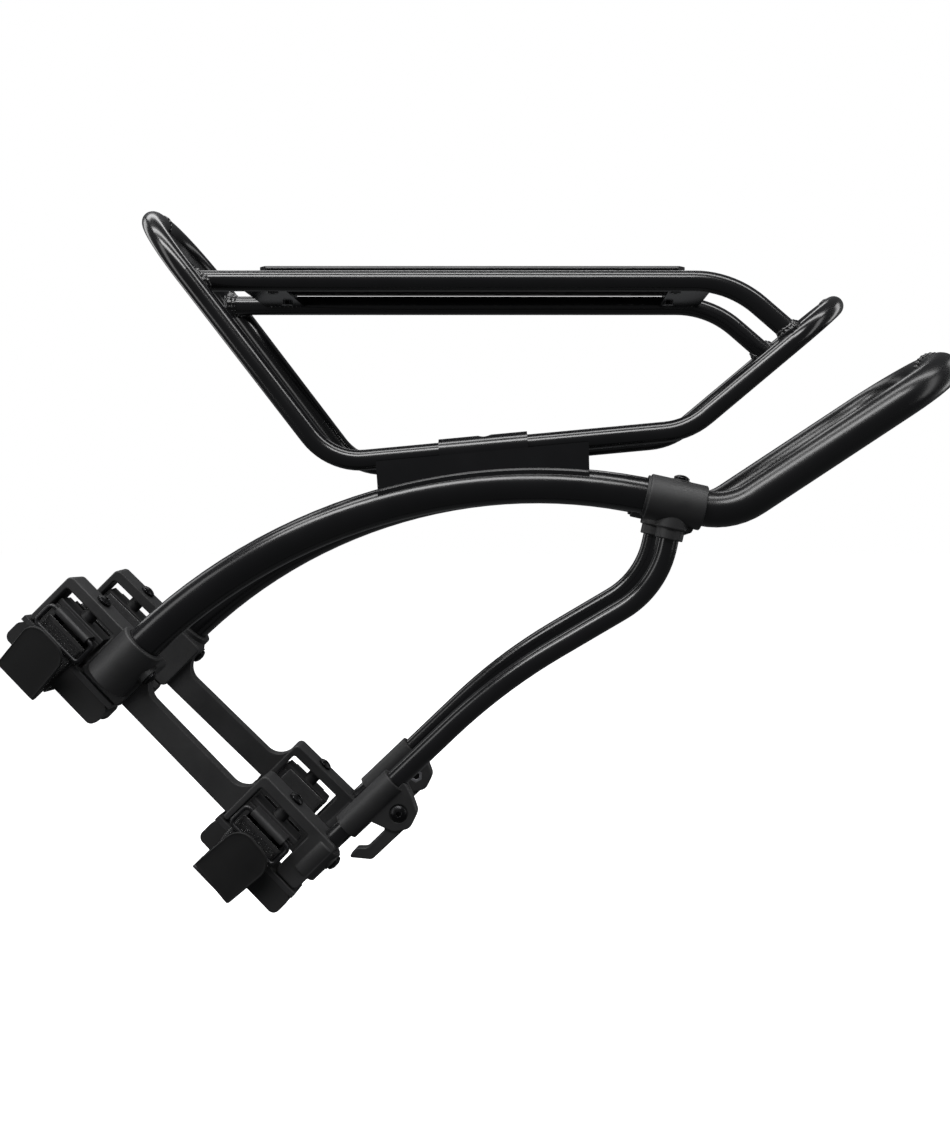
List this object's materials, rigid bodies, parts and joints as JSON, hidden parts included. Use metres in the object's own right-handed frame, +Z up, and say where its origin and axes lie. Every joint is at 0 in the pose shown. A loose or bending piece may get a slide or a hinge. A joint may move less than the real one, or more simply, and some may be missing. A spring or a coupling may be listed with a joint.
{
  "type": "rear rack",
  "caption": "Bicycle rear rack of bent tubes that straps to the seatstays, with a slide-on bag track, front and rear hoops, a rear loop and swivelling stay cradles.",
  "frame": {"origin": "centre of the top face of the bag track plate", "axes": "+X to the rear of the bicycle, +Z up, +Y to the bicycle's right; the left side is at -Y"},
  "size_m": [0.593, 0.143, 0.4328],
  "materials": {
    "gloss_black_paint": "gloss black coated aluminium tube",
    "satin_black_anodised": "satin black",
    "moulded_nylon": "fine-grained charcoal moulding",
    "rubber_pad": "matte black rubber",
    "strap_fabric": "fuzzy hook-and-loop webbing",
    "strap_grip": "rubberised strap end",
    "black_screw": "black oxide steel, slightly shiny",
    "steel_insert": "plain zinc"
  },
  "bodies": {
    "rack": {"main_tube_left": "gloss_black_paint", "main_tube_right": "gloss_black_paint", "strut_left": "gloss_black_paint", "strut_right": "gloss_black_paint", "junction_clamp_left": "moulded_nylon", "junction_clamp_right": "moulded_nylon", "deck_hoop_left": "gloss_black_paint", "deck_hoop_right": "gloss_black_paint", "deck_rail_left": "gloss_black_paint", "deck_rail_right": "gloss_black_paint", "saddle_left": "gloss_black_paint", "saddle_right": "gloss_black_paint", "side_bracket_left": "moulded_nylon", "side_bracket_right": "moulded_nylon", "track_plate": "satin_black_anodised", "cross_plate_front": "gloss_black_paint", "cross_plate_rear": "gloss_black_paint", "hoop_plate": "gloss_black_paint", "track_screws": "black_screw", "junction_bolts": "black_screw", "strut_inserts": "steel_insert", "socket_screws": "black_screw"},
    "hook_left": {"hook_clamp_left": "moulded_nylon", "hook_bolt_left": "black_screw", "hook_nut_left": "steel_insert"},
    "hook_right": {"hook_clamp_right": "moulded_nylon", "hook_bolt_right": "black_screw", "hook_nut_right": "steel_insert"},
    "cradle_upper_left": {"cradle_carrier_upper_left": "moulded_nylon", "cradle_pad_upper_left": "rubber_pad", "swivel_screw_upper_left": "black_screw", "strap_upper_left": "strap_fabric"},
    "ring_upper_left": {"strap_ring_upper_left": "satin_black_anodised"},
    "strap_end_upper_left": {"strap_tail_upper_left": "strap_grip"},
    "cradle_upper_right": {"cradle_carrier_upper_right": "moulded_nylon", "cradle_pad_upper_right": "rubber_pad", "swivel_screw_upper_right": "black_screw", "strap_upper_right": "strap_fabric"},
    "ring_upper_right": {"strap_ring_upper_right": "satin_black_anodised"},
    "strap_end_upper_right": {"strap_tail_upper_right": "strap_grip"},
    "cradle_lower_left": {"cradle_carrier_lower_left": "moulded_nylon", "cradle_pad_lower_left": "rubber_pad", "swivel_screw_lower_left": "black_screw", "strap_lower_left": "strap_fabric"},
    "ring_lower_left": {"strap_ring_lower_left": "satin_black_anodised"},
    "strap_end_lower_left": {"strap_tail_lower_left": "strap_grip"},
    "cradle_lower_right": {"cradle_carrier_lower_right": "moulded_nylon", "cradle_pad_lower_right": "rubber_pad", "swivel_screw_lower_right": "black_screw", "strap_lower_right": "strap_fabric"},
    "ring_lower_right": {"strap_ring_lower_right": "satin_black_anodised"},
    "strap_end_lower_right": {"strap_tail_lower_right": "strap_grip"}
  },
  "joints": [
    {"name": "swivel_upper_left", "type": "hinge", "parent": "rack", "child": "cradle_upper_left", "pos_m": [-0.24134, -0.041, -0.22064], "axis": [0.7071, 0, 0.7071], "range_deg": [-8, 8]},
    {"name": "peel_upper_left", "type": "hinge", "parent": "cradle_upper_left", "child": "strap_end_upper_left", "pos_m": [-0.27403, -0.05519, -0.25244], "axis": [0.7064, -0.0442, -0.7064], "range_deg": [0, 130]},
    {"name": "ring_hinge_upper_left", "type": "hinge", "parent": "cradle_upper_left", "child": "ring_upper_left", "pos_m": [-0.24086, -0.05499, -0.21929], "axis": [-0.7064, 0.0442, 0.7064], "range_deg": [0, 39]},
    {"name": "swivel_upper_right", "type": "hinge", "parent": "rack", "child": "cradle_upper_right", "pos_m": [-0.24134, 0.041, -0.22064], "axis": [0.7071, 0, 0.7071], "range_deg": [-8, 8]},
    {"name": "peel_upper_right", "type": "hinge", "parent": "cradle_upper_right", "child": "strap_end_upper_right", "pos_m": [-0.27403, 0.05519, -0.25244], "axis": [-0.7064, -0.0442, 0.7064], "range_deg": [0, 130]},
    {"name": "ring_hinge_upper_right", "type": "hinge", "parent": "cradle_upper_right", "child": "ring_upper_right", "pos_m": [-0.24086, 0.05499, -0.21929], "axis": [0.7064, 0.0442, -0.7064], "range_deg": [0, 39]},
    {"name": "swivel_lower_left", "type": "hinge", "parent": "rack", "child": "cradle_lower_left", "pos_m": [-0.12139, -0.0485, -0.34059], "axis": [0.7071, 0, 0.7071], "range_deg": [-8, 8]},
    {"name": "peel_lower_left", "type": "hinge", "parent": "cradle_lower_left", "child": "strap_end_lower_left", "pos_m": [-0.15408, -0.06269, -0.37239], "axis": [0.7064, -0.0442, -0.7064], "range_deg": [0, 130]},
    {"name": "ring_hinge_lower_left", "type": "hinge", "parent": "cradle_lower_left", "child": "ring_lower_left", "pos_m": [-0.12091, -0.06249, -0.33924], "axis": [-0.7064, 0.0442, 0.7064], "range_deg": [0, 39]},
    {"name": "swivel_lower_right", "type": "hinge", "parent": "rack", "child": "cradle_lower_right", "pos_m": [-0.12139, 0.0485, -0.34059], "axis": [0.7071, 0, 0.7071], "range_deg": [-8, 8]},
    {"name": "peel_lower_right", "type": "hinge", "parent": "cradle_lower_right", "child": "strap_end_lower_right", "pos_m": [-0.15408, 0.06269, -0.37239], "axis": [-0.7064, -0.0442, 0.7064], "range_deg": [0, 130]},
    {"name": "ring_hinge_lower_right", "type": "hinge", "parent": "cradle_lower_right", "child": "ring_lower_right", "pos_m": [-0.12091, 0.06249, -0.33924], "axis": [0.7064, 0.0442, -0.7064], "range_deg": [0, 39]},
    {"name": "hook_turn_left", "type": "hinge", "parent": "rack", "child": "hook_left", "pos_m": [-0.06, -0.05036, -0.32696], "axis": [-0.7251, 0.0063, -0.6886], "range_deg": [-25, 25]},
    {"name": "hook_turn_right", "type": "hinge", "parent": "rack", "child": "hook_right", "pos_m": [-0.06, 0.05036, -0.32696], "axis": [-0.7251, -0.0063, -0.6886], "range_deg": [-25, 25]}
  ],
  "couplings": [
    {"joint": "ring_hinge_upper_left", "follows": "peel_upper_left", "ratio": 0.3},
    {"joint": "ring_hinge_upper_right", "follows": "peel_upper_right", "ratio": 0.3},
    {"joint": "ring_hinge_lower_left", "follows": "peel_lower_left", "ratio": 0.3},
    {"joint": "ring_hinge_lower_right", "follows": "peel_lower_right", "ratio": 0.3}
  ]
}
